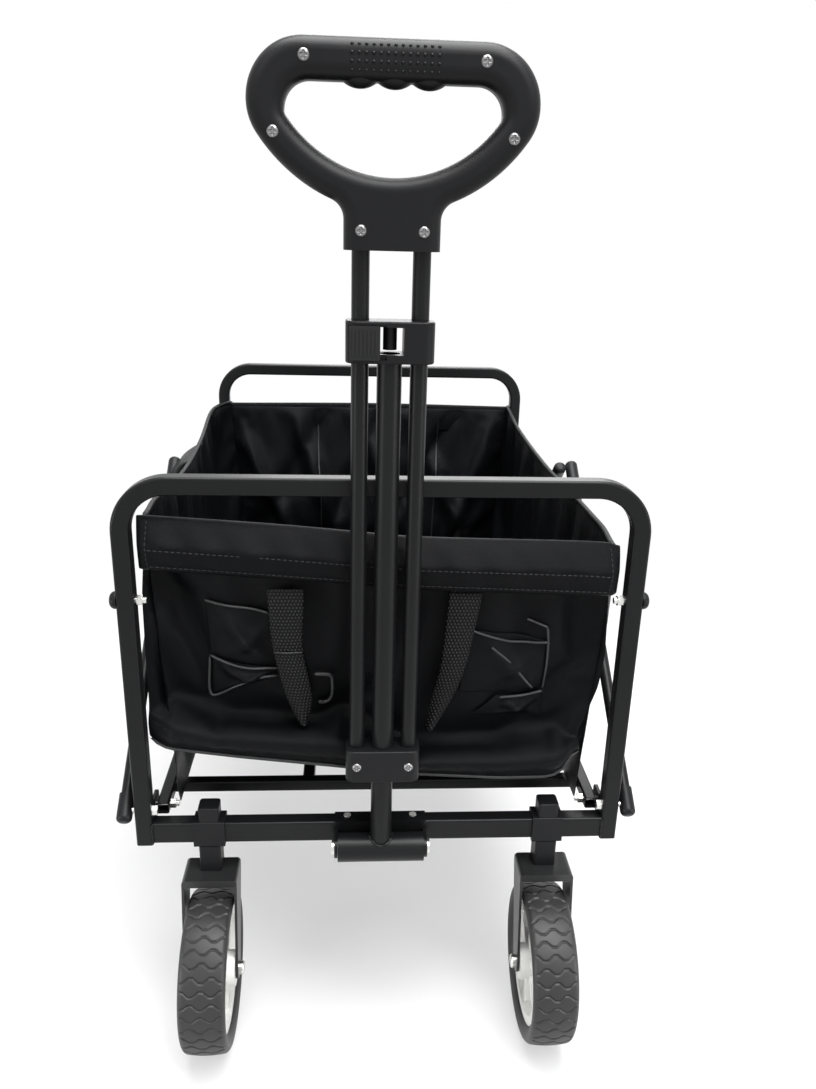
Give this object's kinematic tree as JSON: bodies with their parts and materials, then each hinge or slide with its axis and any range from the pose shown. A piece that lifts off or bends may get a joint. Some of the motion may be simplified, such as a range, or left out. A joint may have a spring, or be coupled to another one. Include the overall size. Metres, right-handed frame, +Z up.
{
  "type": "folding wagon with pull handle",
  "caption": "Folding utility wagon with a fabric basket, tubular end frames, swivelling front casters, fixed rear wheels and a telescoping pull handle with a D grip.",
  "frame": {"origin": "on the ground under the middle of the wagon, half way between the end frames", "axes": "+Z up, +Y from the pull handle to the rear, +X to the right seen from the front"},
  "size_m": [0.5056, 0.877, 0.901],
  "materials": {
    "frame_black": "satin black powder coat",
    "plastic_black": "fine matte grain",
    "bolt_steel": "zinc plated",
    "fabric_black": "plain woven black cloth",
    "tyre_black": "matte",
    "rim_white": "moulded white plastic"
  },
  "bodies": {
    "front_frame": {"front_end_frame": "frame_black", "front_cross_tube": "frame_black", "caster_housing_left": "plastic_black", "caster_housing_right": "plastic_black", "front_pivot_ears": "frame_black", "front_frame_bolts": "bolt_steel", "front_bolt_caps": "plastic_black", "front_wall": "fabric_black", "handle_bracket": "frame_black", "bracket_rivets": "bolt_steel", "handle_pivot_pin": "bolt_steel", "side_wall_left": "fabric_black", "side_wall_right": "fabric_black", "floor_apron_front": "fabric_black"},
    "base_front": {"base_front_side_tubes": "frame_black", "base_front_cross_tubes": "frame_black", "base_hinge_bolts": "bolt_steel", "floor_pad_front": "fabric_black"},
    "base_rear": {"base_rear_side_tubes": "frame_black", "base_rear_cross_tubes": "frame_black", "floor_pad_rear": "fabric_black"},
    "rear_frame": {"rear_end_frame": "frame_black", "rear_cross_tube": "frame_black", "rear_wheel_posts": "plastic_black", "rear_pivot_ears": "frame_black", "rear_frame_bolts": "bolt_steel", "rear_bolt_caps": "plastic_black", "rear_wall": "fabric_black", "rear_forks": "frame_black", "rear_wheel_bolts": "bolt_steel", "floor_apron_rear": "fabric_black"},
    "handle": {"handle_post": "frame_black", "upper_collar": "plastic_black"},
    "handle_slide": {"handle_rods": "frame_black", "lower_collar": "plastic_black", "grip_front": "plastic_black", "grip_rear": "plastic_black", "handle_screws": "bolt_steel"},
    "lock_button": {"lock_button": "plastic_black"},
    "arm_front_left": {"front_arm_left": "frame_black", "front_arm_caps_left": "plastic_black"},
    "arm_rear_left": {"rear_arm_left": "frame_black", "rear_arm_caps_left": "plastic_black"},
    "caster_left": {"caster_fork_left": "frame_black", "caster_bolts_left": "bolt_steel"},
    "front_left_wheel": {"front_left_tyre": "tyre_black", "front_left_rim": "rim_white"},
    "rear_left_wheel": {"rear_left_tyre": "tyre_black", "rear_left_rim": "rim_white"},
    "arm_front_right": {"front_arm_right": "frame_black", "front_arm_caps_right": "plastic_black"},
    "arm_rear_right": {"rear_arm_right": "frame_black", "rear_arm_caps_right": "plastic_black"},
    "caster_right": {"caster_fork_right": "frame_black", "caster_bolts_right": "bolt_steel"},
    "front_right_wheel": {"front_right_tyre": "tyre_black", "front_right_rim": "rim_white"},
    "rear_right_wheel": {"rear_right_tyre": "tyre_black", "rear_right_rim": "rim_white"}
  },
  "joints": [
    {"name": "base_fold", "type": "hinge", "parent": "front_frame", "child": "base_front", "pos_m": [0, -0.3135, 0.235], "axis": [1, 0, 0], "range_deg": [0, 75], "deforming": ["side_wall_left", "side_wall_right", "floor_apron_front"]},
    {"name": "base_mid_hinge", "type": "hinge", "parent": "base_front", "child": "base_rear", "pos_m": [0, 0, 0.235], "axis": [1, 0, 0], "range_deg": [-150, 0]},
    {"name": "rear_frame_hinge", "type": "hinge", "parent": "base_rear", "child": "rear_frame", "pos_m": [0, 0.3135, 0.235], "axis": [1, 0, 0], "range_deg": [0, 75], "deforming": ["floor_apron_rear"]},
    {"name": "arm_front_left_pivot", "type": "hinge", "parent": "front_frame", "child": "arm_front_left", "pos_m": [-0.245, -0.3315, 0.24], "axis": [1, 0, 0], "range_deg": [0, 38.72]},
    {"name": "arm_rear_left_pivot", "type": "hinge", "parent": "rear_frame", "child": "arm_rear_left", "pos_m": [-0.245, 0.3315, 0.24], "axis": [1, 0, 0], "range_deg": [-38.72, 0]},
    {"name": "caster_left_swivel", "type": "hinge", "parent": "front_frame", "child": "caster_left", "pos_m": [-0.165, -0.3315, 0.2], "axis": [0, 0, 1], "continuous": true},
    {"name": "front_left_wheel_spin", "type": "hinge", "parent": "caster_left", "child": "front_left_wheel", "pos_m": [-0.165, -0.3625, 0.076], "axis": [1, 0, 0], "continuous": true},
    {"name": "rear_left_wheel_spin", "type": "hinge", "parent": "rear_frame", "child": "rear_left_wheel", "pos_m": [-0.165, 0.3625, 0.076], "axis": [1, 0, 0], "continuous": true},
    {"name": "arm_front_right_pivot", "type": "hinge", "parent": "front_frame", "child": "arm_front_right", "pos_m": [0.245, -0.3315, 0.24], "axis": [1, 0, 0], "range_deg": [0, 38.72]},
    {"name": "arm_rear_right_pivot", "type": "hinge", "parent": "rear_frame", "child": "arm_rear_right", "pos_m": [0.245, 0.3315, 0.24], "axis": [1, 0, 0], "range_deg": [-38.72, 0]},
    {"name": "caster_right_swivel", "type": "hinge", "parent": "front_frame", "child": "caster_right", "pos_m": [0.165, -0.3315, 0.2], "axis": [0, 0, 1], "continuous": true},
    {"name": "front_right_wheel_spin", "type": "hinge", "parent": "caster_right", "child": "front_right_wheel", "pos_m": [0.165, -0.3625, 0.076], "axis": [1, 0, 0], "continuous": true},
    {"name": "rear_right_wheel_spin", "type": "hinge", "parent": "rear_frame", "child": "rear_right_wheel", "pos_m": [0.165, 0.3625, 0.076], "axis": [1, 0, 0], "continuous": true},
    {"name": "handle_pivot", "type": "hinge", "parent": "front_frame", "child": "handle", "pos_m": [0, -0.3565, 0.213], "axis": [1, 0, 0], "range_deg": [0, 100]},
    {"name": "handle_extend", "type": "slide", "parent": "handle", "child": "handle_slide", "axis": [0, 0, 1], "range_m": [-0.045, 0.33]},
    {"name": "lock_press", "type": "slide", "parent": "handle", "child": "lock_button", "axis": [1, 0, 0], "range_m": [0, 0.005], "stiffness_N_per_m": 300}
  ],
  "couplings": [
    {"joint": "base_mid_hinge", "follows": "base_fold", "ratio": -2},
    {"joint": "rear_frame_hinge", "follows": "base_fold", "ratio": 1},
    {"joint": "arm_front_left_pivot", "follows": "base_fold", "ratio": 0.51626},
    {"joint": "arm_rear_left_pivot", "follows": "base_fold", "ratio": -0.51626},
    {"joint": "arm_front_right_pivot", "follows": "base_fold", "ratio": 0.51626},
    {"joint": "arm_rear_right_pivot", "follows": "base_fold", "ratio": -0.51626}
  ]
}
